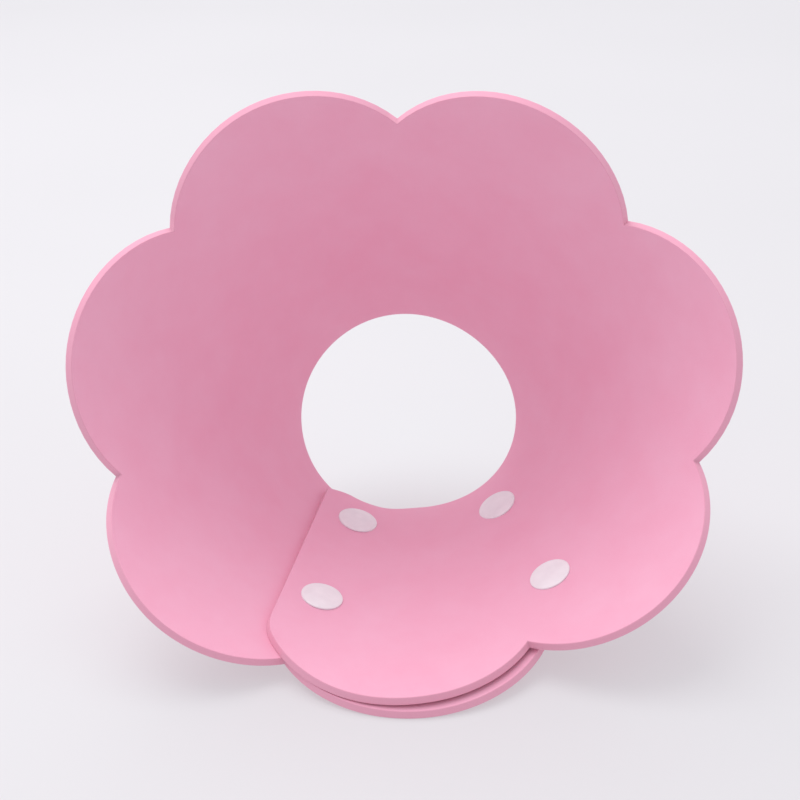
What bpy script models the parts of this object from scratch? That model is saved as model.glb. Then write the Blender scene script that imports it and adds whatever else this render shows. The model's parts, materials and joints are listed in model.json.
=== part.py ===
"""Foam recovery collar for a small pet: a scalloped sheet rolled into a cone and closed by four
snap fasteners, lying on its side with the wide mouth facing -Y and up.

The cone is set out in its own frame, with its apex at the origin: u to the right, v up and w
along the cone's axis towards the wide mouth. The sheet's flat pattern is measured from the same
apex, as a slant length and a flat angle. Sizes are in millimetres until MM turns them to metres.
"""

import math

import bmesh
import bpy
import numpy as np
from mathutils import Matrix, Vector

MM = 0.001

# The cone
NECK_RADIUS = 36.0
HALF_ANGLE = 32.6  # degrees, between the cone's axis and its side
OVAL_2 = (-1.50, 0.27)  # degrees: cosine and sine of twice the angle round the axis
OVAL_3 = (-0.41, -0.28)  # degrees: the same at three times the angle
LAYER_STEP = 4.1  # how far the roll moves outwards in one turn

# The foam sheet
FOAM = 2.8
PETAL_PITCH = 28.14  # degrees, flat
FIRST_PETAL = -0.39  # degrees, flat: the middle of the inner end's petal
PETALS = 8
NOTCH_SLANT = 163.0
TIP_SLANT = 182.9
FIRST_TIP_SLANT = 181.2  # the inner end's petal is a little shorter
LAST_BACK = 1.5  # degrees, flat: how far the outer petal lies back from the even pitch
TAB_SLANT = 154.0
END_NECK = -24.9  # degrees, flat: the inner end's edge at the neck
END_RIM = -16.1  # degrees, flat: the same edge at the notch slant
END_CORNER = 18.0  # radius of the inner end's corner at the rim
TAB_CORNER = 7.0
NECK_CUT = 5.0  # how much the inner end's corner at the neck is rounded away
NECK_RUN = 7.0  # degrees, flat: how far along the neck that rounding reaches
SNAP_MIDDLE = 4.45  # degrees, flat: the line that both the snaps and the ends mirror about
PETAL_STEPS = 12
FAN_STEPS = 8
ROWS = 4
PRESS_DEPTH = 1.0  # how much closer the inner end lies to the layer under it
PRESS_START = 3.0  # degrees, flat: where the inner layer starts to lean outwards
PRESS_END = -9.0  # degrees, flat: where it lies close
FLOOR_FLAT = 0.25  # how much of the round underside the table presses flat

# The hinge lines, where the sheet bends
GAP = 0.3
CUT_CLEAR = 0.008  # radians, flat: a column nearer than this to a hinge line is left out
RING_HINGE = FIRST_PETAL + 5.5 * PETAL_PITCH
FLAP_HINGE = SNAP_MIDDLE

# The snaps: slant length and flat angle of each, in two columns
SNAPS = {1: (79.8, -13.2), 2: (131.8, -12.2), 3: (83.2, 22.6), 4: (135.9, 20.7)}
FLAP_SNAPS = (1, 2)
CAP_RADIUS = 7.0
CAP_DOME = 1.35
CAP_EDGE = 0.55
DISC_RADIUS = 5.3
POST_RADIUS = 1.1
HOLE_RADIUS = 1.4
HEAD_RADIUS = 1.8
# Heights along a snap's axis, outwards from the upper layer's inner face
INNER_CAP_SEAT = 0.35
INNER_HEAD = (2.35, 2.6)
SOCKET = (1.65, 3.2)
SOCKET_WEB = 2.05
SOCKET_BORE = 3.4
STUD_TIP = 2.4
STUD_FLANGE = (3.5, 3.9)
STUD_RING = (2.2, 3.0)
OUTER_HEAD = (2.9, 3.2)
OUTER_CAP_SEAT = 5.55
TURN_STEPS = 18

COLOURS = {
    "foam": ((0.84, 0.42, 0.55, 1.0), 0.85),
    "snap": ((0.86, 0.83, 0.84, 1.0), 0.35),
}


def clear_scene():
    for item in list(bpy.data.objects):
        bpy.data.objects.remove(item)


def material(name):
    colour, roughness = COLOURS[name]
    made = bpy.data.materials.new(name)
    made.use_nodes = True
    shader = made.node_tree.nodes["Principled BSDF"]
    shader.inputs["Base Color"].default_value = colour
    shader.inputs["Roughness"].default_value = roughness
    shader.inputs["Metallic"].default_value = 0.0
    return made


# The rolled surface


def half_angle(turn):
    """The cone's half angle, in radians, at this angle round the axis."""
    degrees = (
        HALF_ANGLE
        + OVAL_2[0] * np.cos(2 * turn)
        + OVAL_2[1] * np.sin(2 * turn)
        + OVAL_3[0] * np.cos(3 * turn)
        + OVAL_3[1] * np.sin(3 * turn)
    )
    return np.radians(degrees)


def press(degrees):
    """How far outwards the inner layer leans at this flat angle."""
    share = min(1.0, max(0.0, (PRESS_START - degrees) / (PRESS_START - PRESS_END)))
    return PRESS_DEPTH * share * share * (3 - 2 * share)


def unit_rows(rows):
    return rows / np.linalg.norm(rows, axis=1)[:, None]


class Roll:
    """Tables that turn a flat angle into a direction down the cone and an outward normal."""

    def __init__(self):
        self.turn = np.linspace(-1.2, 2 * math.pi + 1.2, 3001)
        side = half_angle(self.turn)
        sine = np.sin(side)
        self.down = np.stack(
            [sine * np.sin(self.turn), -sine * np.cos(self.turn), np.cos(side)], axis=1
        )
        along = unit_rows(np.gradient(self.down, axis=0))
        self.out = np.cross(along, self.down)
        steps = np.linalg.norm(np.diff(self.down, axis=0), axis=1)
        self.flat = np.concatenate([[0.0], np.cumsum(steps)])
        self.flat -= np.interp(0.0, self.turn, self.flat)
        self.full = np.interp(2 * math.pi, self.turn, self.flat)

    def frame(self, angle):
        """Down the slope, outwards and the layer's offset, at a flat angle in radians."""
        turn = float(np.interp(angle, self.flat, self.turn))
        down = Vector([np.interp(turn, self.turn, self.down[:, i]) for i in range(3)])
        out = Vector([np.interp(turn, self.turn, self.out[:, i]) for i in range(3)])
        offset = LAYER_STEP * turn / (2 * math.pi) + press(math.degrees(angle))
        return down.normalized(), out.normalized(), offset

    def point(self, slant, angle, depth):
        """A point of the flat pattern, rolled up, this deep below the sheet's inner face."""
        down, out, offset = self.frame(angle)
        return slant * down + (offset + depth) * out


# The flat pattern


def polar(slant, angle):
    return Vector((slant * math.sin(angle), slant * math.cos(angle)))


def petal_middle(petal):
    back = LAST_BACK if petal == PETALS - 1 else 0.0
    return math.radians(FIRST_PETAL + petal * PETAL_PITCH - back)


def notch(petal):
    """The flat angle, in radians, of the notch after this petal. Petal -1's comes before them all."""
    if petal < 0:
        return petal_middle(0) - math.radians(PETAL_PITCH / 2)
    if petal == PETALS - 1:
        return petal_middle(petal) + tab_offset()
    return (petal_middle(petal) + petal_middle(petal + 1)) / 2


def petal_circle(petal):
    """Distance of a petal's centre from the apex, and the petal's radius."""
    tip = TIP_SLANT if petal else FIRST_TIP_SLANT
    across = NOTCH_SLANT * math.cos(math.radians(PETAL_PITCH / 2))
    centre = (tip**2 - NOTCH_SLANT**2) / (2 * (tip - across))
    return centre, tip - centre


def tab_offset():
    """The flat angle, in radians, from the middle of the outer petal to where its edge meets the tab."""
    centre, radius = petal_circle(PETALS - 1)
    return math.acos((TAB_SLANT**2 + centre**2 - radius**2) / (2 * TAB_SLANT * centre))


def petal_slant(petal, angle):
    """Slant length of a petal's edge at this flat angle, in radians."""
    centre, radius = petal_circle(petal)
    offset = angle - petal_middle(petal)
    return centre * math.cos(offset) + math.sqrt(radius**2 - (centre * math.sin(offset)) ** 2)


def corner(near, far, centre, radius, rounding):
    """The points that round off the corner between a straight end and a circle.

    The end runs from near to far, with the sheet on its right.
    """
    along = (far - near).normalized()
    inward = Vector((along.y, -along.x))
    start = near + inward * rounding - centre
    reach = radius - rounding
    half = start.dot(along)
    run = -half + math.sqrt(half**2 - start.length_squared + reach**2)
    middle = near + inward * rounding + along * run
    first = -inward
    last = (middle - centre).normalized()
    sweep = first.angle(last)
    points = []
    for i in range(FAN_STEPS + 1):
        angle = -sweep * i / FAN_STEPS
        points.append(middle + rounding * (Matrix.Rotation(angle, 2) @ first))
    return points


def neck_slant(angle):
    """Slant length of the neck's edge at a flat angle in radians."""
    share = max(0.0, 1 - (math.degrees(angle) - END_NECK) / NECK_RUN)
    return NECK_RADIUS / math.sin(math.radians(HALF_ANGLE)) + NECK_CUT * share**2


def end_line():
    return (
        polar(neck_slant(0.0), math.radians(END_NECK)),
        polar(NOTCH_SLANT, math.radians(END_RIM)),
    )


def slant_and_angle(point):
    return point.length, math.atan2(point.x, point.y)


def spread_neck(points, neck_start, neck_end):
    """Give each point of an end its own place along the neck, in step with its arc length."""
    lengths = [0.0]
    for before, after in zip(points, points[1:]):
        lengths.append(lengths[-1] + (after - before).length)
    columns = []
    for point, length in zip(points, lengths):
        slant, angle = slant_and_angle(point)
        share = length / lengths[-1]
        columns.append((neck_start + share * (neck_end - neck_start), slant, angle))
    return columns


def inner_end():
    """Columns of the inner end, from its edge to where plain generators begin."""
    near, far = end_line()
    centre, radius = petal_circle(0)
    points = corner(near, far, polar(centre, petal_middle(0)), radius, END_CORNER)
    stop = math.radians(FIRST_PETAL - PETAL_PITCH / 7)
    start = math.atan2(points[-1].x, points[-1].y)
    for i in range(1, FAN_STEPS + 1):
        angle = start + (stop - start) * i / FAN_STEPS
        points.append(polar(petal_slant(0, angle), angle))
    return spread_neck(points, math.radians(END_NECK), stop)


def outer_end(full):
    """Columns of the outer end, a short tab whose straight edge mirrors the inner end's."""
    mirror = math.radians(2 * SNAP_MIDDLE)
    near, far = end_line()
    points = corner(near, far, Vector((0.0, 0.0)), TAB_SLANT, TAB_CORNER)
    last = mirror - (notch(PETALS - 1) - full)
    corner_angle = math.atan2(points[-1].x, points[-1].y)
    for i in range(1, FAN_STEPS + 1):
        angle = corner_angle + (last - corner_angle) * i / FAN_STEPS
        points.append(polar(TAB_SLANT, angle))
    columns = spread_neck(points, math.radians(END_NECK), last)
    return [(full + mirror - neck, slant, full + mirror - rim) for neck, slant, rim in columns][::-1]


def pattern_columns(full):
    """Every column of the sheet: its flat angle at the neck, then slant and angle at the rim."""
    columns = inner_end()
    tab = outer_end(full)
    apart = math.radians(PETAL_PITCH / PETAL_STEPS / 3)
    for petal in range(PETALS):
        low = notch(petal - 1)
        high = notch(petal)
        for i in range(PETAL_STEPS):
            angle = low + (high - low) * i / PETAL_STEPS
            if columns[-1][2] + apart < angle:
                columns.append((angle, petal_slant(petal, angle), angle))
    return columns + tab


def cut_column(columns, angle):
    """A straight column at this angle, its rim found between its neighbours."""
    rims = [column[2] for column in columns]
    slants = [column[1] for column in columns]
    return (angle, float(np.interp(angle, rims, slants)), angle)


def between(columns, low, high):
    """The columns between two hinge lines, with one more on each line."""
    bottom = -math.inf if low is None else low + CUT_CLEAR
    top = math.inf if high is None else high - CUT_CLEAR
    inside = [column for column in columns if bottom < column[2] < top]
    if low is not None:
        inside.insert(0, cut_column(columns, low))
    if high is not None:
        inside.append(cut_column(columns, high))
    return inside


def column_points(roll, column, depth, shift):
    """A column's points from neck to rim. The shift moves it sideways, in millimetres."""
    neck_angle, rim_slant, rim_angle = column
    middle = (neck_angle + rim_angle) / 2
    near = polar(neck_slant(neck_angle), neck_angle - middle)
    far = polar(rim_slant, rim_angle - middle)
    points = []
    for i in range(ROWS + 1):
        flat = near.lerp(far, i / ROWS)
        slant, angle = slant_and_angle(flat)
        points.append(roll.point(slant, middle + angle + shift / slant, depth))
    return points


def sheet_piece(roll, columns, low_cut, high_cut, up, floor):
    """A closed mesh of the sheet over these columns."""
    mesh = bmesh.new()
    faces = []
    for depth in (0.0, FOAM):
        grid = []
        for number, column in enumerate(columns):
            shift = 0.0
            if number == 0 and low_cut:
                shift = GAP / 2
            if number == len(columns) - 1 and high_cut:
                shift = -GAP / 2
            points = column_points(roll, column, depth, shift)
            lifted = [p + up * max(0.0, floor - p.dot(up)) for p in points]
            grid.append([mesh.verts.new(p * MM) for p in lifted])
        faces.append(grid)
    inner, outer = faces
    last = len(columns) - 1
    for i in range(last):
        for j in range(ROWS):
            mesh.faces.new((inner[i][j], inner[i][j + 1], inner[i + 1][j + 1], inner[i + 1][j]))
            mesh.faces.new((outer[i][j], outer[i + 1][j], outer[i + 1][j + 1], outer[i][j + 1]))
        for j in (0, ROWS):
            mesh.faces.new((inner[i][j], inner[i + 1][j], outer[i + 1][j], outer[i][j]))
    for i in (0, last):
        for j in range(ROWS):
            mesh.faces.new((inner[i][j], inner[i][j + 1], outer[i][j + 1], outer[i][j]))
    bmesh.ops.recalc_face_normals(mesh, faces=mesh.faces)
    return mesh


# Turned pieces


def turned(profile):
    """A closed mesh of the profile turned about Z. The profile is (radius, height) points."""
    mesh = bmesh.new()
    ring = [mesh.verts.new((radius * MM, 0.0, height * MM)) for radius, height in profile]
    edges = [mesh.edges.new(pair) for pair in zip(ring, ring[1:])]
    if profile[0][0] > 0:
        edges.append(mesh.edges.new((ring[-1], ring[0])))
    bmesh.ops.spin(
        mesh,
        geom=ring + edges,
        axis=(0, 0, 1),
        cent=(0, 0, 0),
        angle=2 * math.pi,
        steps=TURN_STEPS,
        use_merge=True,
    )
    bmesh.ops.remove_doubles(mesh, verts=mesh.verts, dist=1e-6)
    bmesh.ops.recalc_face_normals(mesh, faces=mesh.faces)
    return mesh


def cap_profile(seat, sign, head):
    """A domed cap with its post and the post's flattened head.

    The dome stands on the side of the seat that sign gives, and the head is on the other side.
    """
    rim = seat + sign * CAP_EDGE
    profile = [(0.0, seat + sign * CAP_DOME)]
    for i in range(1, 5):
        angle = math.radians(90 * i / 4)
        height = rim + sign * (CAP_DOME - CAP_EDGE) * math.cos(angle)
        profile.append((CAP_RADIUS * math.sin(angle), height))
    near, far = head
    profile += [
        (CAP_RADIUS, seat),
        (POST_RADIUS, seat),
        (POST_RADIUS, near),
        (HEAD_RADIUS, near),
        (HEAD_RADIUS, far),
        (0.0, far),
    ]
    return profile


def socket_profile():
    low, high = SOCKET
    return [
        (HOLE_RADIUS, low),
        (DISC_RADIUS, low),
        (DISC_RADIUS, SOCKET_WEB),
        (SOCKET_BORE + 1.0, high),
        (SOCKET_BORE, high),
        (SOCKET_BORE, SOCKET_WEB),
        (HOLE_RADIUS, SOCKET_WEB),
    ]


def stud_profile():
    low, high = STUD_FLANGE
    bore, outside = STUD_RING
    return [
        (bore, STUD_TIP),
        (outside, STUD_TIP),
        (outside, low),
        (DISC_RADIUS, low),
        (DISC_RADIUS, high),
        (HOLE_RADIUS, high),
        (HOLE_RADIUS, low),
        (bore, low),
    ]


def hole_profile(low, low_radius, low_seat, high_seat, high_radius, high):
    """A hole with a wider seat at each end, as a cutter."""
    return [
        (0.0, low),
        (low_radius, low),
        (low_radius, low_seat),
        (HOLE_RADIUS, low_seat),
        (HOLE_RADIUS, high_seat),
        (high_radius, high_seat),
        (high_radius, high),
        (0.0, high),
    ]


# Objects


def add(name, mesh, parent, finish=None, smooth=False):
    """An object of this mesh, whose own frame is the cone's, under a parent empty."""
    data = bpy.data.meshes.new(name)
    mesh.to_mesh(data)
    mesh.free()
    if smooth:
        data.shade_smooth()
        data.set_sharp_from_angle(angle=math.radians(40))
    made = bpy.data.objects.new(name, data)
    bpy.context.collection.objects.link(made)
    hang(made, parent)
    if finish:
        data.materials.append(finish)
    return made


def hang(child, parent):
    """Parent the child and keep it where it is in the cone's frame."""
    child.parent = parent
    child.matrix_parent_inverse = cone_matrix(parent).inverted()


def cone_matrix(item):
    """An empty's place in the cone's frame. The collar's own empty is that frame."""
    if item.parent is None:
        return Matrix.Identity(4)
    return cone_matrix(item.parent) @ item.matrix_parent_inverse @ item.matrix_basis


def empty(name, parent=None, matrix=None):
    made = bpy.data.objects.new(name, None)
    made.empty_display_size = 0.02
    bpy.context.collection.objects.link(made)
    if parent:
        hang(made, parent)
    if matrix:
        made.matrix_basis = matrix
    return made


def frame_along(origin, axis):
    """A matrix with its Z along the axis and its origin at this point, in millimetres."""
    turn = Vector((0, 0, 1)).rotation_difference(axis).to_matrix().to_4x4()
    return Matrix.Translation(origin * MM) @ turn


def cut(piece, cutter):
    """Take the cutter's shape out of the piece."""
    cutter.hide_render = True
    cutter.display_type = "WIRE"
    modifier = piece.modifiers.new(cutter.name, "BOOLEAN")
    modifier.operation = "DIFFERENCE"
    modifier.solver = "EXACT"
    modifier.object = cutter


def place_collar(collar, pieces, tilt):
    """Lay the cone on its side, with the middle of its box's underside at the origin."""
    lay = Matrix(((1, 0, 0), (0, math.sin(tilt), -math.cos(tilt)), (0, math.cos(tilt), math.sin(tilt))))
    corners = [lay @ vertex.co for piece in pieces for vertex in piece.data.vertices]
    low = Vector([min(p[i] for p in corners) for i in range(3)])
    high = Vector([max(p[i] for p in corners) for i in range(3)])
    middle = (low + high) / 2
    shift = Vector((-middle.x, -middle.y, -low.z))
    collar.matrix_basis = Matrix.Translation(shift) @ lay.to_4x4()


def hinge_frame(roll, angle, depth, sense):
    """A frame on a hinge line, level with the neck. A positive turn about its Z opens the joint.

    The depth puts the line on the face that closes up, so that the joint's gap only widens.
    """
    down, out, offset = roll.frame(angle)
    return frame_along(neck_slant(angle) * down + (offset + depth) * out, sense * down)


def add_snap(number, roll, owners, finish):
    """One snap's four pieces, and the holes it needs in the two layers of foam."""
    slant, angle = SNAPS[number]
    _, out, _ = roll.frame(math.radians(angle))
    place = frame_along(roll.point(slant, math.radians(angle), 0.0), out)
    upper, lower, upper_foam, lower_foam = owners

    def snap_piece(name, profile, parent, colour=finish):
        mesh = turned(profile)
        mesh.transform(place)
        return add(f"{name}_{number}", mesh, parent, colour, smooth=True)

    snap_piece("inner_cap", cap_profile(INNER_CAP_SEAT, -1, INNER_HEAD), upper)
    snap_piece("socket", socket_profile(), upper)
    snap_piece("stud", stud_profile(), lower)
    snap_piece("outer_cap", cap_profile(OUTER_CAP_SEAT, 1, OUTER_HEAD[::-1]), lower)
    seat = CAP_RADIUS + GAP
    disc = DISC_RADIUS + GAP
    upper_hole = hole_profile(
        -3.0, seat, INNER_CAP_SEAT + GAP, SOCKET[0] - GAP, disc, FOAM + 0.6
    )
    lower_hole = hole_profile(
        FOAM, disc, STUD_FLANGE[1] + GAP, OUTER_CAP_SEAT - GAP, seat, LAYER_STEP + FOAM + 2.0
    )
    cut(upper_foam, snap_piece("upper_hole", upper_hole, upper, None))
    cut(lower_foam, snap_piece("lower_hole", lower_hole, lower, None))


def main():
    clear_scene()
    foam = material("foam")
    snap = material("snap")
    roll = Roll()
    tilt = float(half_angle(0.0))
    up = Vector((0.0, math.cos(tilt), math.sin(tilt)))
    columns = pattern_columns(roll.full)
    lowest = min(p.dot(up) for c in columns for p in column_points(roll, c, FOAM, 0.0))
    floor = lowest + FLOOR_FLAT

    collar = empty("collar")
    ring_hinge = math.radians(RING_HINGE)
    flap_hinge = math.radians(FLAP_HINGE)
    ring = empty("ring_open_axis", collar, hinge_frame(roll, ring_hinge, FOAM, 1))
    flap = empty("flap_peel_axis", ring, hinge_frame(roll, flap_hinge, 0.0, -1))

    flap_columns = between(columns, None, flap_hinge)
    ring_columns = between(columns, flap_hinge, ring_hinge)
    wing_columns = between(columns, ring_hinge, None)
    foam_flap = add("foam_flap", sheet_piece(roll, flap_columns, False, True, up, floor), flap, foam)
    foam_ring = add("foam_ring", sheet_piece(roll, ring_columns, True, True, up, floor), ring, foam)
    foam_wing = add(
        "foam_lower_wing", sheet_piece(roll, wing_columns, True, False, up, floor), collar, foam
    )
    for number in SNAPS:
        on_flap = number in FLAP_SNAPS
        upper = flap if on_flap else ring
        upper_foam = foam_flap if on_flap else foam_ring
        add_snap(number, roll, (upper, collar, upper_foam, foam_wing), snap)
    place_collar(collar, (foam_flap, foam_ring, foam_wing), tilt)


main()
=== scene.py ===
"""Looks of the foam recovery collar: the rolled foam sheet with die-cut edges and four moulded
snaps, on a pale floor in soft light. Lengths are in metres unless a name says otherwise."""

import json
import math

import bmesh
import bpy
import numpy as np
from mathutils import Matrix, Vector


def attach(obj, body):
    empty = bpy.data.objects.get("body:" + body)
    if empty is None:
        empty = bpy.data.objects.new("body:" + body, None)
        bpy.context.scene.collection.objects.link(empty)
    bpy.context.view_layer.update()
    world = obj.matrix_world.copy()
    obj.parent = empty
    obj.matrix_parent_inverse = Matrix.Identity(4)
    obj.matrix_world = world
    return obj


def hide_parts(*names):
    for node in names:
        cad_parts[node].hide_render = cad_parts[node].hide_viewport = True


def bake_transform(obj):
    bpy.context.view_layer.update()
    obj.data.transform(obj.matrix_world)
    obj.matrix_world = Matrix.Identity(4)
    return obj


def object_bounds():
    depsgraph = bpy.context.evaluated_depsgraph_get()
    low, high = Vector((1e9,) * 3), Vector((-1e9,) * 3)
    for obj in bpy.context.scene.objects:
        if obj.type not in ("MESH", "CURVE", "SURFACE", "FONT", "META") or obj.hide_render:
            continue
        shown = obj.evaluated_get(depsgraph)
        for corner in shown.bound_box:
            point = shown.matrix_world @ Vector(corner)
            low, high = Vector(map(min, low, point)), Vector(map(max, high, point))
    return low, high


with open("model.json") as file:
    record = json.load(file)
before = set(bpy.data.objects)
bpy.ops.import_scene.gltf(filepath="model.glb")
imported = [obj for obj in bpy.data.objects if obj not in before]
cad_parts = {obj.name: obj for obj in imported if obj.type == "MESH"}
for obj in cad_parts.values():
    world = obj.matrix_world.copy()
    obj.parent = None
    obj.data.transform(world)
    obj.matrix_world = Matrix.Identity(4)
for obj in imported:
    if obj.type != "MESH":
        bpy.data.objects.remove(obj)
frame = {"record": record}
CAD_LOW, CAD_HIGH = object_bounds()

MM = 0.001

# The cone, as the CAD sets it out. The apex is the origin, u to the right, v up and w along the
# axis towards the mouth. Lengths here are in millimetres and flat angles in degrees.
NECK_RADIUS = 36.0
HALF_ANGLE = 32.6
OVAL_2 = (-1.50, 0.27)
OVAL_3 = (-0.41, -0.28)
LAYER_STEP = 4.1
FOAM = 2.8
PETAL_PITCH = 28.14
FIRST_PETAL = -0.39
PETALS = 8
NOTCH_SLANT = 163.0
TIP_SLANT = 182.9
FIRST_TIP_SLANT = 181.2
LAST_BACK = 1.5
TAB_SLANT = 154.0
END_NECK = -24.9
END_RIM = -16.1
END_CORNER = 18.0
TAB_CORNER = 7.0
NECK_CUT = 5.0
NECK_RUN = 7.0
SNAP_MIDDLE = 4.45
FLOOR_FLAT = 0.25
RING_HINGE = FIRST_PETAL + 5.5 * PETAL_PITCH
SHEET_SEAM = FIRST_PETAL + 2.5 * PETAL_PITCH  # where the two visible lengths of the sheet meet

# The visible sheet
EDGE_ROUND = 0.3
EDGE_STEPS = 3
WALL_STEPS = 2
ROW_STEP = 1.5
FINE_STEP = 0.45
COARSE_STEP = 1.1
FAN_STEPS = 28
PATTERN_SPAN = 400.0  # the width of flat pattern that fills the UV map
SAME_ANGLE = 0.002  # radians, flat: columns closer than this count as one
PRESS_DEPTH = 1.25  # how much closer the inner end lies to the layer under it
PRESS_START = 3.0
PRESS_END = -9.0

# The snaps
SNAPS = {1: (79.8, -13.2), 2: (131.8, -12.2), 3: (83.2, 22.6), 4: (135.9, 20.7)}
FLAP_SNAPS = (1, 2)
CAP_RADIUS = 7.0
DISC_RADIUS = 5.3
DIMPLE_RUN = 3.2
DIMPLE_GAP = 0.1
INNER_CAP_SEAT = 0.35
INNER_HEAD = (2.35, 2.75)
SOCKET = (1.65, 3.2)
SOCKET_WEB = 2.05
SOCKET_BORE = 3.4
STUD_TIP = 2.4
STUD_FLANGE = (3.5, 3.9)
STUD_RING = (2.2, 3.0)
OUTER_HEAD = (2.85, 3.2)
OUTER_CAP_SEAT = 5.55
POST_RADIUS = 1.1
HOLE_RADIUS = 1.4
HEAD_RADIUS = 1.8
TURN_STEPS = 64

# The view: distance from a point on the cone's axis, and how far off that axis it looks
VIEW_POINT = 30.9  # along the axis, from the neck towards the mouth
VIEW_DISTANCE = 600.8
VIEW_BELOW = 4.22
VIEW_TURN = -1.13
VIEW_AIM = (-2.83, 2.66)
LENS = 78.3


# The rolled surface


def half_angle(turn):
    degrees = (
        HALF_ANGLE
        + OVAL_2[0] * np.cos(2 * turn)
        + OVAL_2[1] * np.sin(2 * turn)
        + OVAL_3[0] * np.cos(3 * turn)
        + OVAL_3[1] * np.sin(3 * turn)
    )
    return np.radians(degrees)


def unit_rows(rows):
    return rows / np.linalg.norm(rows, axis=-1)[..., None]


def smooth_step(value):
    value = np.clip(value, 0, 1)
    return value * value * (3 - 2 * value)


class Roll:
    """Turns a point of the flat pattern into a point of the rolled-up cone."""

    def __init__(self):
        self.turn = np.linspace(-1.2, 2 * math.pi + 1.2, 6001)
        side = half_angle(self.turn)
        sine = np.sin(side)
        self.down = np.stack(
            [sine * np.sin(self.turn), -sine * np.cos(self.turn), np.cos(side)], axis=1
        )
        self.along = unit_rows(np.gradient(self.down, axis=0))
        self.out = np.cross(self.along, self.down)
        steps = np.linalg.norm(np.diff(self.down, axis=0), axis=1)
        self.flat = np.concatenate([[0.0], np.cumsum(steps)])
        self.flat -= np.interp(0.0, self.turn, self.flat)
        self.full = float(np.interp(2 * math.pi, self.turn, self.flat))
        self.tilt = float(half_angle(0.0))
        self.up = np.array([0.0, math.cos(self.tilt), math.sin(self.tilt)])

    def frame(self, angle):
        """Down the slope, round the roll, outwards, and the layer's offset, at flat angles."""
        turn = np.interp(angle, self.flat, self.turn)
        axes = []
        for table in (self.down, self.along, self.out):
            rows = np.stack([np.interp(turn, self.turn, table[:, i]) for i in range(3)], axis=-1)
            axes.append(unit_rows(rows))
        press = smooth_step((PRESS_START - np.degrees(angle)) / (PRESS_START - PRESS_END))
        offset = LAYER_STEP * turn / (2 * math.pi) + PRESS_DEPTH * press
        return axes[0], axes[1], axes[2], offset

    def points(self, slant, angle, depth):
        down, _, out, offset = self.frame(angle)
        return slant[..., None] * down + (offset + depth)[..., None] * out


ROLL = Roll()
LAY = Matrix(
    (
        (1, 0, 0),
        (0, math.sin(ROLL.tilt), -math.cos(ROLL.tilt)),
        (0, math.cos(ROLL.tilt), math.sin(ROLL.tilt)),
    )
)


# The flat pattern


def polar(slant, angle):
    return Vector((slant * math.sin(angle), slant * math.cos(angle)))


def slant_and_angle(point):
    return point.length, math.atan2(point.x, point.y)


def neck_slant(angle):
    """Slant length of the neck's edge: the inner end's corner is rounded away."""
    share = max(0.0, 1 - (math.degrees(angle) - END_NECK) / NECK_RUN)
    return NECK_RADIUS / math.sin(math.radians(HALF_ANGLE)) + NECK_CUT * share**2


def petal_middle(petal):
    back = LAST_BACK if petal == PETALS - 1 else 0.0
    return math.radians(FIRST_PETAL + petal * PETAL_PITCH - back)


def notch(petal):
    """The flat angle of the notch after this petal. Petal -1's comes before them all."""
    if petal < 0:
        return petal_middle(0) - math.radians(PETAL_PITCH / 2)
    if petal == PETALS - 1:
        return petal_middle(petal) + tab_offset()
    return (petal_middle(petal) + petal_middle(petal + 1)) / 2


def petal_circle(petal):
    tip = TIP_SLANT if petal else FIRST_TIP_SLANT
    across = NOTCH_SLANT * math.cos(math.radians(PETAL_PITCH / 2))
    centre = (tip**2 - NOTCH_SLANT**2) / (2 * (tip - across))
    return centre, tip - centre


def tab_offset():
    """The flat angle from the middle of the outer petal to where its edge meets the tab."""
    centre, radius = petal_circle(PETALS - 1)
    return math.acos((TAB_SLANT**2 + centre**2 - radius**2) / (2 * TAB_SLANT * centre))


def petal_slant(petal, angle):
    centre, radius = petal_circle(petal)
    offset = angle - petal_middle(petal)
    return centre * math.cos(offset) + math.sqrt(radius**2 - (centre * math.sin(offset)) ** 2)


def corner(near, far, centre, radius, rounding):
    """The points that round off the corner between a straight end and a circle."""
    along = (far - near).normalized()
    inward = Vector((along.y, -along.x))
    start = near + inward * rounding - centre
    reach = radius - rounding
    half = start.dot(along)
    run = -half + math.sqrt(half**2 - start.length_squared + reach**2)
    middle = near + inward * rounding + along * run
    first = -inward
    sweep = first.angle((middle - centre).normalized())
    points = []
    for i in range(FAN_STEPS + 1):
        turned = Matrix.Rotation(-sweep * i / FAN_STEPS, 2) @ first
        points.append(middle + rounding * turned)
    return points


def end_line():
    return (
        polar(neck_slant(0.0), math.radians(END_NECK)),
        polar(NOTCH_SLANT, math.radians(END_RIM)),
    )


def spread_neck(points, neck_start, neck_end):
    lengths = [0.0]
    for before, after in zip(points, points[1:]):
        lengths.append(lengths[-1] + (after - before).length)
    columns = []
    for point, length in zip(points, lengths):
        slant, angle = slant_and_angle(point)
        share = length / lengths[-1]
        columns.append((neck_start + share * (neck_end - neck_start), slant, angle))
    return columns


def inner_end():
    """Columns of the inner end, from its edge to where plain generators begin."""
    near, far = end_line()
    centre, radius = petal_circle(0)
    points = corner(near, far, polar(centre, petal_middle(0)), radius, END_CORNER)
    stop = math.radians(FIRST_PETAL - PETAL_PITCH / 7)
    start = math.atan2(points[-1].x, points[-1].y)
    count = round(math.degrees(stop - start) / FINE_STEP)
    for i in range(1, count + 1):
        angle = start + (stop - start) * i / count
        points.append(polar(petal_slant(0, angle), angle))
    return spread_neck(points, math.radians(END_NECK), stop)


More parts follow.
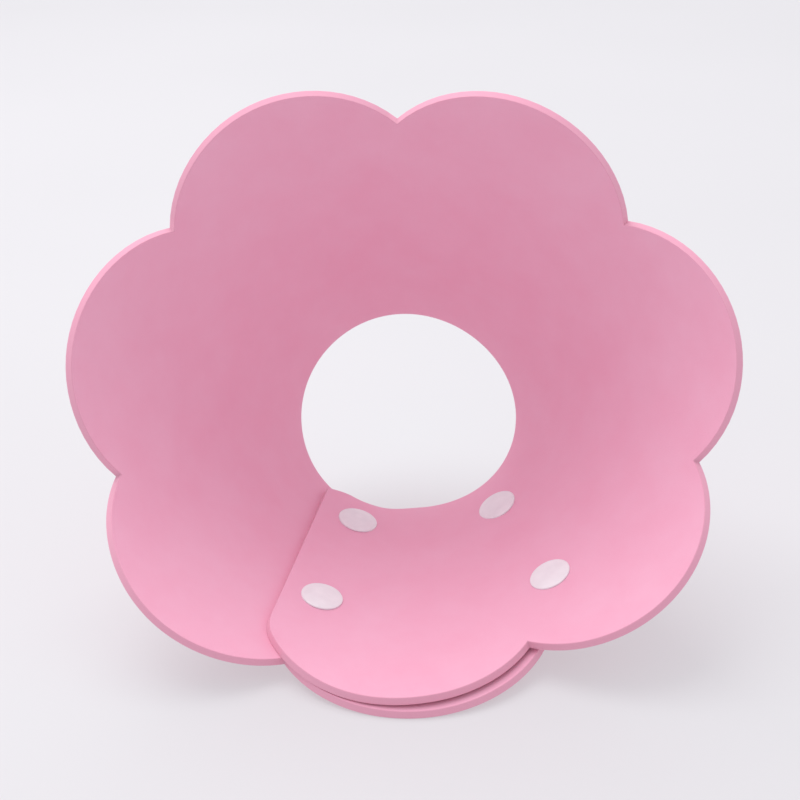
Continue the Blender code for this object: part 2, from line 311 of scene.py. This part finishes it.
def outer_end():
    """Columns of the outer end, a short tab whose straight edge mirrors the inner end's."""
    mirror = math.radians(2 * SNAP_MIDDLE)
    near, far = end_line()
    points = corner(near, far, Vector((0.0, 0.0)), TAB_SLANT, TAB_CORNER)
    last = mirror - (notch(PETALS - 1) - ROLL.full)
    corner_angle = math.atan2(points[-1].x, points[-1].y)
    count = round(math.degrees(last - corner_angle) / FINE_STEP)
    for i in range(1, count + 1):
        angle = corner_angle + (last - corner_angle) * i / count
        points.append(polar(TAB_SLANT, angle))
    columns = spread_neck(points, math.radians(END_NECK), last)
    full = ROLL.full
    return [(full + mirror - neck, slant, full + mirror - rim) for neck, slant, rim in columns][::-1]


def petal_columns(petal, fine):
    """Columns of one petal, from notch to notch."""
    low = notch(petal - 1)
    high = notch(petal)
    count = 2 * round(PETAL_PITCH / (FINE_STEP if fine else COARSE_STEP) / 2)
    columns = []
    for i in range(count + 1):
        angle = low + (high - low) * i / count
        columns.append((angle, petal_slant(petal, angle), angle))
    return columns


def pattern_columns():
    columns = inner_end()
    tab = outer_end()
    for petal in range(PETALS):
        for column in petal_columns(petal, petal in (0, 1, 6, 7)):
            if columns[-1][2] + SAME_ANGLE < column[2] < tab[0][2] - SAME_ANGLE:
                columns.append(column)
    return columns + tab


# The visible sheet


def flat_grid(columns):
    """Slant and flat angle of every grid point, as arrays of column by row."""
    rows = round((NOTCH_SLANT - neck_slant(0.0)) / ROW_STEP)
    slants = np.zeros((len(columns), rows + 1))
    angles = np.zeros_like(slants)
    for i, (neck_angle, rim_slant, rim_angle) in enumerate(columns):
        middle = (neck_angle + rim_angle) / 2
        near = polar(neck_slant(neck_angle), neck_angle - middle)
        far = polar(rim_slant, rim_angle - middle)
        for j in range(rows + 1):
            slant, angle = slant_and_angle(near.lerp(far, j / rows))
            slants[i, j] = slant
            angles[i, j] = middle + angle
    return slants, angles


def seats(number):
    """Where one snap presses the sheet: (is lower layer, face, radius, depth) four times."""
    slant, angle = SNAPS[number]
    radians = math.radians(angle)
    place = np.array([[slant]]), np.array([[radians]])
    upper = ROLL.points(place[0], place[1], np.zeros((1, 1)))[0, 0]
    lower = ROLL.points(place[0], place[1] + ROLL.full, np.zeros((1, 1)))[0, 0]
    step = float(np.linalg.norm(lower - upper))
    return (
        (False, "inner", CAP_RADIUS, INNER_CAP_SEAT),
        (False, "outer", DISC_RADIUS, FOAM - SOCKET[0]),
        (True, "inner", DISC_RADIUS, STUD_FLANGE[1] - step),
        (True, "outer", CAP_RADIUS, step + FOAM - OUTER_CAP_SEAT),
    )


def dimple(x, y, face):
    """How far the sheet's face is pressed in by the snaps, at these flat places."""
    pressed = np.zeros_like(x)
    for number, (slant, angle) in SNAPS.items():
        for lower, side, radius, depth in seats(number):
            if side != face or depth <= 0:
                continue
            middle = polar(slant, math.radians(angle) + lower * ROLL.full)
            away = np.hypot(x - middle.x, y - middle.y)
            fall = 1 - smooth_step((away - radius - DIMPLE_GAP) / DIMPLE_RUN)
            pressed = np.maximum(pressed, (depth + DIMPLE_GAP) * fall)
    return pressed


def swell(x, y):
    """A very slow unevenness of the sheet, as moulded foam has."""
    return 0.10 * np.sin(x / 17.0 + 0.6) * np.sin(y / 23.0 + 1.1) + 0.06 * np.sin(x / 8.3 + y / 11.9)


class Section:
    """One visible length of the sheet, closed, with rounded die-cut edges."""

    def __init__(self, name, columns, seam_first):
        self.name = name
        self.seam_first = seam_first  # whether the seam is the first column or the last
        self.slants, self.angles = flat_grid(columns)
        self.x = self.slants * np.sin(self.angles)
        self.y = self.slants * np.cos(self.angles)
        self.places = []  # flat x, flat y, depth of each vertex
        self.tilts = []  # how each vertex's normal leans: flat x, flat y, outwards
        self.faces = []
        self.edge = []  # 1 on the cut edge, 0 on the skin

    def add(self, x, y, depth, lean, edge):
        self.places.append((x, y, depth))
        self.tilts.append(lean)
        self.edge.append(edge)
        return len(self.places) - 1

    def border(self):
        """Grid indices round the open border, from the seam's rim end to its neck end."""
        last, top = self.x.shape[0] - 1, self.x.shape[1] - 1
        run = list(range(last + 1) if self.seam_first else range(last, -1, -1))
        path = [(i, top) for i in run]
        path += [(run[-1], j) for j in range(top - 1, 0, -1)]
        path += [(i, 0) for i in reversed(run)]
        return path

    def outward(self, path):
        """The in-plane direction out of the sheet at each border point, mitred at corners."""
        flat = np.array([(self.x[i, j], self.y[i, j]) for i, j in path])
        seam = unit_rows(flat[0] - flat[-1])
        middle = np.array([self.x.mean(), self.y.mean()])
        steps = unit_rows(np.diff(flat, axis=0))
        side = np.stack([steps[:, 1], -steps[:, 0]], axis=1)
        if ((middle - flat[1:]) * side).sum(axis=1).mean() > 0:
            side = -side
        before = np.vstack([side[:1], side])
        after = np.vstack([side, side[-1:]])
        mitre = unit_rows(before + after)
        stretch = 1 / np.clip((mitre * after).sum(axis=1), 0.5, 1)
        move = mitre * stretch[:, None]
        move[0] = seam * (1 / max(0.3, float(seam @ side[0])))
        move[-1] = -seam * (1 / max(0.3, float(-seam @ side[-1])))
        return move, mitre

    def build(self):
        path = self.border()
        move, mitre = self.outward(path)
        count_i, count_j = self.x.shape
        grids = []
        for face in ("inner", "outer"):
            grid = np.zeros((count_i, count_j), int)
            sign = 1.0 if face == "inner" else -1.0
            level = 0.0 if face == "inner" else FOAM
            press = dimple(self.x, self.y, face)
            for i in range(count_i):
                for j in range(count_j):
                    depth = level + sign * press[i, j]
                    grid[i, j] = self.add(self.x[i, j], self.y[i, j], depth, (0, 0, -sign), 0.0)
            grids.append(grid)
        inner, outer = grids
        for i in range(count_i - 1):
            for j in range(count_j - 1):
                self.faces.append((inner[i, j], inner[i, j + 1], inner[i + 1, j + 1], inner[i + 1, j]))
                self.faces.append((outer[i, j], outer[i + 1, j], outer[i + 1, j + 1], outer[i, j + 1]))
        rings = [[inner[index] for index in path]]
        for reach, depth, lean in self.edge_profile():
            ring = []
            for k, index in enumerate(path):
                x = self.x[index] + move[k][0] * reach
                y = self.y[index] + move[k][1] * reach
                tilt = (mitre[k][0] * lean[0], mitre[k][1] * lean[0], lean[1])
                ring.append(self.add(x, y, depth, tilt, 1.0))
            rings.append(ring)
        rings.append([outer[index] for index in path])
        for upper, lower in zip(rings, rings[1:]):
            for k in range(len(path) - 1):
                face = (upper[k], upper[k + 1], lower[k + 1], lower[k])
                self.faces.append(face[::-1] if self.seam_first else face)
        seam = 0 if self.seam_first else count_i - 1
        wall = [inner[seam, j] for j in range(count_j)]
        wall += [ring[0] for ring in rings[1:-1]]
        wall += [outer[seam, j] for j in range(count_j - 1, -1, -1)]
        wall += [ring[-1] for ring in rings[-2:0:-1]]
        self.faces.append(tuple(wall) if self.seam_first else tuple(wall[::-1]))
        return self.object()

    def edge_profile(self):
        """Rings round the cut edge: distance outwards, depth, and (outward, across) lean."""
        turns = [math.radians(90 * k / EDGE_STEPS) for k in range(1, EDGE_STEPS + 1)]
        first = [
            (EDGE_ROUND * math.sin(a), EDGE_ROUND * (1 - math.cos(a)), (math.sin(a), -math.cos(a)))
            for a in turns
        ]
        wall = [
            (EDGE_ROUND, EDGE_ROUND + (FOAM - 2 * EDGE_ROUND) * k / WALL_STEPS, (1.0, 0.0))
            for k in range(1, WALL_STEPS)
        ]
        last = [(reach, FOAM - depth, (lean[0], -lean[1])) for reach, depth, lean in reversed(first)]
        return first + wall + last

    def object(self):
        flat = np.array(self.places)
        lean = np.array(self.tilts)
        middle = float(self.angles.mean())
        turned = np.arctan2(
            flat[:, 0] * math.cos(middle) - flat[:, 1] * math.sin(middle),
            flat[:, 0] * math.sin(middle) + flat[:, 1] * math.cos(middle),
        )
        angles = middle + turned
        slants = np.hypot(flat[:, 0], flat[:, 1])
        rolled = ROLL.points(slants, angles, flat[:, 2] + swell(flat[:, 0], flat[:, 1]))
        down, along, out, _ = ROLL.frame(angles)
        sine, cosine = np.sin(angles), np.cos(angles)
        lean_down = lean[:, 0] * sine + lean[:, 1] * cosine
        lean_along = lean[:, 0] * cosine - lean[:, 1] * sine
        normals = unit_rows(
            lean_down[:, None] * down + lean_along[:, None] * along + lean[:, 2:] * out
        )
        data = bpy.data.meshes.new(self.name)
        data.from_pydata((rolled * MM).tolist(), [], self.faces)
        data.update()
        self.write_attributes(data, flat)
        made = bpy.data.objects.new(self.name, data)
        bpy.context.collection.objects.link(made)
        return made, normals

    def write_attributes(self, data, flat):
        """The flat pattern as a UV map, and the cut edge as a mask, for the material."""
        layer = data.uv_layers.new(name="pattern")
        corners = np.zeros(len(data.loops), int)
        data.loops.foreach_get("vertex_index", corners)
        uv = flat[corners][:, :2] / PATTERN_SPAN + 0.5
        layer.data.foreach_set("uv", uv.ravel())
        mask = data.attributes.new("cut_edge", "FLOAT", "POINT")
        mask.data.foreach_set("value", np.array(self.edge, np.float32))


def rolled_section(name, columns, seam_first):
    """Build one length of the sheet, with normals that carry on across the seam."""
    made, normals = Section(name, columns, seam_first).build()
    made.data.shade_smooth()
    made.data.normals_split_custom_set_from_vertices(normals.tolist())
    return made


def floor_height(sections):
    """The height, above the apex, of the floor that presses the underside flat."""
    low = min(
        (np.array([v.co for v in made.data.vertices]) @ ROLL.up).min() for made in sections
    )
    return low + FLOOR_FLAT * MM


def press_on_floor(made, floor):
    points = np.array([v.co for v in made.data.vertices])
    lift = np.maximum(0.0, floor - points @ ROLL.up)
    points += lift[:, None] * ROLL.up
    made.data.vertices.foreach_set("co", points.ravel())
    made.data.update()


def joint(name):
    return next(j for j in frame["record"]["behaviour"]["joints"] if j["name"] == name)


def hinge(angle, depth):
    """A point on a hinge line, level with the neck, and the direction round the roll there."""
    down, along, out, offset = ROLL.frame(np.array([math.radians(angle)]))
    point = neck_slant(0.0) * down[0] + (offset[0] + depth) * out[0]
    return Vector(point) * MM, Vector(along[0])


def cone_place():
    """The cone's frame in the row frame, tied to the ring joint's own point."""
    local, _ = hinge(RING_HINGE, FOAM)
    return Matrix.Translation(Vector(joint("ring_open")["pos_m"]) - LAY @ local) @ LAY.to_4x4()


# The snaps


def arc(centre, radius, start, stop, steps):
    """Points of an arc in a profile, angles in degrees from outwards towards up."""
    points = []
    for i in range(steps + 1):
        angle = math.radians(start + (stop - start) * i / steps)
        points.append((centre[0] + radius * math.cos(angle), centre[1] + radius * math.sin(angle)))
    return points


def turned(name, profile):
    """A closed mesh of a (radius, height) profile turned about Z, in metres."""
    mesh = bmesh.new()
    ring = [mesh.verts.new((radius * MM, 0.0, height * MM)) for radius, height in profile]
    edges = [mesh.edges.new(pair) for pair in zip(ring, ring[1:])]
    if profile[0][0] > 0:
        edges.append(mesh.edges.new((ring[-1], ring[0])))
    bmesh.ops.spin(
        mesh, geom=ring + edges, axis=(0, 0, 1), cent=(0, 0, 0), angle=2 * math.pi,
        steps=TURN_STEPS, use_merge=True,
    )
    bmesh.ops.remove_doubles(mesh, verts=mesh.verts, dist=1e-6)
    bmesh.ops.recalc_face_normals(mesh, faces=mesh.faces)
    data = bpy.data.meshes.new(name)
    mesh.to_mesh(data)
    mesh.free()
    data.shade_smooth()
    data.set_sharp_from_angle(angle=math.radians(38))
    return data


def cap_profile(seat, sign, head):
    """A domed cap with a rounded rim, its post, and the post's pressed head."""
    profile = []
    for i in range(11):
        radius = (CAP_RADIUS - 0.35) * i / 10
        profile.append((radius, 1.32 - 0.62 * (radius / CAP_RADIUS) ** 2.3))
    rim = profile[-1][1]
    profile += arc((CAP_RADIUS - 0.35, rim - 0.35), 0.35, 75, 0, 5)
    profile += arc((CAP_RADIUS - 0.2, 0.2), 0.2, 0, -90, 3)
    profile += [(POST_RADIUS + 0.35, 0.0), (POST_RADIUS + 0.1, -0.1), (POST_RADIUS, -0.35)]
    near, far = sorted(sign * (seat - level) for level in head)
    profile += [(POST_RADIUS, -near)]
    profile += [(HEAD_RADIUS - 0.1, -near), (HEAD_RADIUS, -near - 0.1)]
    profile += [(HEAD_RADIUS - 0.05, -far + 0.1), (HEAD_RADIUS - 0.4, -far), (0.0, -far + 0.05)]
    return [(radius, seat + sign * height) for radius, height in profile]


def socket_profile():
    low, high = SOCKET
    wall = SOCKET_BORE + 1.0
    return [
        (HOLE_RADIUS, low),
        (DISC_RADIUS - 0.15, low),
        (DISC_RADIUS, low + 0.15),
        (DISC_RADIUS, SOCKET_WEB + 0.1),
        (DISC_RADIUS - 0.15, SOCKET_WEB + 0.25),
        (wall + 0.15, SOCKET_WEB + 0.35),
        (wall, SOCKET_WEB + 0.55),
        (wall, high - 0.2),
        (wall - 0.2, high),
        (SOCKET_BORE + 0.15, high),
        (SOCKET_BORE - 0.1, high - 0.25),
        (SOCKET_BORE, high - 0.5),
        (SOCKET_BORE, SOCKET_WEB),
        (HOLE_RADIUS, SOCKET_WEB),
    ]


def stud_profile():
    low, high = STUD_FLANGE
    bore, outside = STUD_RING
    return [
        (bore, STUD_TIP + 0.12),
        (bore + 0.15, STUD_TIP),
        (outside - 0.15, STUD_TIP),
        (outside, STUD_TIP + 0.15),
        (outside, STUD_TIP + 0.4),
        (outside - 0.2, STUD_TIP + 0.6),
        (outside - 0.2, low - 0.15),
        (outside, low),
        (DISC_RADIUS - 0.12, low),
        (DISC_RADIUS, low + 0.12),
        (DISC_RADIUS, high - 0.12),
        (DISC_RADIUS - 0.12, high),
        (HOLE_RADIUS, high),
        (HOLE_RADIUS, low),
        (bore, low),
    ]


def snap_frame(number, place):
    """A snap's own frame in the row frame: its Z is outwards from the upper layer's inner face."""
    slant, angle = SNAPS[number]
    flat = np.array([math.radians(angle)])
    point = ROLL.points(np.array([slant]), flat, np.zeros(1))[0]
    down, _, out, _ = (table[0] for table in ROLL.frame(flat))
    axes = Matrix((down, np.cross(out, down), out)).transposed().to_4x4()
    return place @ Matrix.Translation(Vector(point) * MM) @ axes


def add_snap(number, place, finish):
    upper = "flap" if number in FLAP_SNAPS else "ring"
    kinds = (
        ("inner_cap", cap_profile(INNER_CAP_SEAT, -1, INNER_HEAD), upper),
        ("socket", socket_profile(), upper),
        ("stud", stud_profile(), "lower_wing"),
        ("outer_cap", cap_profile(OUTER_CAP_SEAT, 1, OUTER_HEAD), "lower_wing"),
    )
    for kind, profile, body in kinds:
        name = f"moulded_{kind}_{number}"
        made = bpy.data.objects.new(name, turned(name, profile))
        bpy.context.collection.objects.link(made)
        made.data.transform(snap_frame(number, place))
        made.data.materials.append(finish)
        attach(made, body)
        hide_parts(f"{kind}_{number}")


# Materials


class Nodes:
    """A short way to write a material's node tree."""

    def __init__(self, name):
        self.material = bpy.data.materials.new(name)
        self.material.use_nodes = True
        self.tree = self.material.node_tree
        self.shader = self.tree.nodes["Principled BSDF"]

    def new(self, kind, inputs=None, **settings):
        node = self.tree.nodes.new(kind)
        for key, value in settings.items():
            setattr(node, key, value)
        for key, value in (inputs or {}).items():
            if isinstance(value, bpy.types.NodeSocket):
                self.tree.links.new(value, node.inputs[key])
            else:
                node.inputs[key].default_value = value
        return node

    def math(self, operation, first, second):
        return self.new("ShaderNodeMath", {0: first, 1: second}, operation=operation).outputs[0]

    def ramp(self, value, low, high, to_low=0.0, to_high=1.0):
        inputs = {"Value": value, "From Min": low, "From Max": high, "To Min": to_low, "To Max": to_high}
        return self.new("ShaderNodeMapRange", inputs).outputs["Result"]

    def mix(self, share, first, second):
        inputs = {"Factor": share, 6: first, 7: second}
        return self.new("ShaderNodeMix", inputs, data_type="RGBA").outputs[2]

    def noise(self, vector, scale, detail=3.0, roughness=0.5):
        inputs = {"Vector": vector, "Scale": scale, "Detail": detail, "Roughness": roughness}
        return self.new("ShaderNodeTexNoise", inputs).outputs["Fac"]


FOAM_COLOUR = (0.85, 0.435, 0.576, 1.0)
FOAM_DEEP = (0.84, 0.392, 0.535, 1.0)
# The cut edge's colour: the open cells' own tone, darkened further with painted shade of the edges that
# face down towards the floor.
FOAM_EDGE_WITH_SHADE = (0.76, 0.335, 0.455, 1.0)
RESIN_PALE = (0.86, 0.84, 0.86, 1.0)
RESIN_DEEP = (0.80, 0.775, 0.80, 1.0)
FLOOR_PALE = (0.31, 0.305, 0.32, 1.0)
FLOOR_DEEP = (0.29, 0.285, 0.30, 1.0)


def foam_material():
    """Closed-cell EVA foam: a fine matt skin, and open cells on the die-cut edge, whose colour is
    darkened all round with painted shade.
    """
    n = Nodes("eva_foam")
    place = n.new("ShaderNodeTexCoord").outputs["Object"]
    cut = n.new("ShaderNodeAttribute", attribute_name="cut_edge").outputs["Fac"]
    mottle = n.ramp(n.noise(place, 55.0, 4.0, 0.6), 0.3, 0.7)
    skin = n.mix(mottle, FOAM_COLOUR, FOAM_DEEP)
    grain = n.noise(place, 1900.0, 2.0, 0.6)
    cells = n.new("ShaderNodeTexVoronoi", {"Vector": place, "Scale": 2600.0}).outputs["Distance"]
    speck = n.ramp(grain, 0.25, 0.75)
    skin = n.mix(n.math("MULTIPLY", speck, 0.10), skin, FOAM_DEEP)
    # Every cut edge takes the darker colour: partly the open cells, partly painted shade.
    edge = n.mix(n.ramp(cells, 0.1, 0.6, 0.0, 0.25), FOAM_EDGE_WITH_SHADE, FOAM_DEEP)
    n.tree.links.new(n.mix(cut, skin, edge), n.shader.inputs["Base Color"])
    rough = n.ramp(n.noise(place, 260.0, 3.0, 0.6), 0.3, 0.7, 0.62, 0.78)
    n.tree.links.new(rough, n.shader.inputs["Roughness"])
    height = n.math("ADD", n.math("MULTIPLY", grain, 0.6), n.math("MULTIPLY", cells, 0.5))
    inputs = {"Height": height, "Strength": 0.22, "Distance": 0.00012}
    bump = n.new("ShaderNodeBump", inputs).outputs["Normal"]
    n.tree.links.new(bump, n.shader.inputs["Normal"])
    n.shader.inputs["Specular IOR Level"].default_value = 0.35
    n.shader.inputs["Sheen Weight"].default_value = 0.3
    n.shader.inputs["Sheen Roughness"].default_value = 0.5
    return n.material


def snap_material():
    """Moulded white resin with a satin skin and a faint flow mottle."""
    n = Nodes("snap_resin")
    place = n.new("ShaderNodeTexCoord").outputs["Object"]
    flow = n.ramp(n.noise(place, 220.0, 3.0, 0.55), 0.3, 0.7)
    colour = n.mix(flow, RESIN_PALE, RESIN_DEEP)
    n.tree.links.new(colour, n.shader.inputs["Base Color"])
    fine = n.noise(place, 1500.0, 2.0, 0.6)
    n.tree.links.new(n.ramp(fine, 0.3, 0.7, 0.30, 0.42), n.shader.inputs["Roughness"])
    inputs = {"Height": fine, "Strength": 0.10, "Distance": 0.00005}
    bump = n.new("ShaderNodeBump", inputs).outputs["Normal"]
    n.tree.links.new(bump, n.shader.inputs["Normal"])
    n.shader.inputs["Specular IOR Level"].default_value = 0.45
    return n.material


def floor_material():
    n = Nodes("pale_floor")
    place = n.new("ShaderNodeTexCoord").outputs["Object"]
    tone = n.ramp(n.noise(place, 3.0, 2.0, 0.5), 0.3, 0.7)
    colour = n.mix(tone, FLOOR_PALE, FLOOR_DEEP)
    n.tree.links.new(colour, n.shader.inputs["Base Color"])
    n.shader.inputs["Roughness"].default_value = 0.6
    n.shader.inputs["Emission Color"].default_value = (0.99, 0.98, 1.0, 1.0)
    n.shader.inputs["Emission Strength"].default_value = 0.42
    return n.material


# The setting


def add_camera(place):
    """The camera looks into the mouth from a little below the cone's axis."""
    below = math.radians(VIEW_BELOW)
    turn = math.radians(VIEW_TURN)
    right = Vector((math.cos(turn), 0.0, math.sin(turn)))
    level = Vector((-math.sin(turn), 0.0, math.cos(turn)))
    back = level * math.cos(below) - Vector((0, 1, 0)) * math.sin(below)
    up = back.cross(right)
    target = Vector((0, 0, neck_height() + VIEW_POINT))
    aim = target + right * VIEW_AIM[0] + up * VIEW_AIM[1]
    eye = target + back * VIEW_DISTANCE
    gaze = (eye - aim).normalized()
    side = up.cross(gaze).normalized()
    axes = Matrix((side, gaze.cross(side), gaze)).transposed().to_4x4()
    data = bpy.data.cameras.new("camera")
    data.lens = LENS
    data.sensor_width = 36.0
    data.clip_start = 0.01
    made = bpy.data.objects.new("camera", data)
    bpy.context.collection.objects.link(made)
    made.matrix_world = place @ Matrix.Translation(eye * MM) @ axes
    bpy.context.scene.camera = made


def neck_height():
    return NECK_RADIUS / math.tan(math.radians(HALF_ANGLE))


def add_area(name, spot, target, size, power, colour):
    data = bpy.data.lights.new(name, "AREA")
    data.shape = "RECTANGLE"
    data.size, data.size_y = size
    data.energy = power
    data.color = colour
    made = bpy.data.objects.new(name, data)
    bpy.context.collection.objects.link(made)
    made.location = spot
    made.rotation_euler = (Vector(target) - Vector(spot)).to_track_quat("-Z", "Y").to_euler()


def add_setting():
    mesh = bmesh.new()
    bmesh.ops.create_grid(mesh, x_segments=8, y_segments=8, size=6.0)
    data = bpy.data.meshes.new("floor")
    mesh.to_mesh(data)
    mesh.free()
    data.materials.append(floor_material())
    floor = bpy.data.objects.new("floor", data)
    bpy.context.collection.objects.link(floor)
    floor.location = (0.0, 0.0, CAD_LOW[2] - 0.0002)
    world = bpy.context.scene.world or bpy.data.worlds.new("world")
    bpy.context.scene.world = world
    bpy.context.scene.view_settings.view_transform = "Standard"
    world.use_nodes = True
    sky = world.node_tree.nodes["Background"]
    sky.inputs["Color"].default_value = (0.96, 0.96, 1.0, 1.0)
    sky.inputs["Strength"].default_value = 0.9
    add_area("key", (-0.35, 0.35, 1.15), (0, 0, 0.05), (1.1, 1.1), 10.2, (1.0, 0.98, 0.97))


def main():
    place = cone_place()
    add_camera(place)
    add_setting()
    foam = foam_material()
    snap = snap_material()
    columns = pattern_columns()
    seam = math.radians(SHEET_SEAM)
    low_side = [column for column in columns if column[2] < seam + SAME_ANGLE]
    high_side = [column for column in columns if column[2] > seam - SAME_ANGLE]
    upper = rolled_section("sheet_inner_length", low_side, False)
    lower = rolled_section("sheet_outer_length", high_side, True)
    floor = floor_height((upper, lower))
    for made in (upper, lower):
        press_on_floor(made, floor)
        made.data.materials.append(foam)
        made.matrix_world = place
    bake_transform(upper)
    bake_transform(lower)
    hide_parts("foam_flap", "foam_ring")
    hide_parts("foam_lower_wing", "foam_ring")
    for number in SNAPS:
        add_snap(number, place, snap)


main()
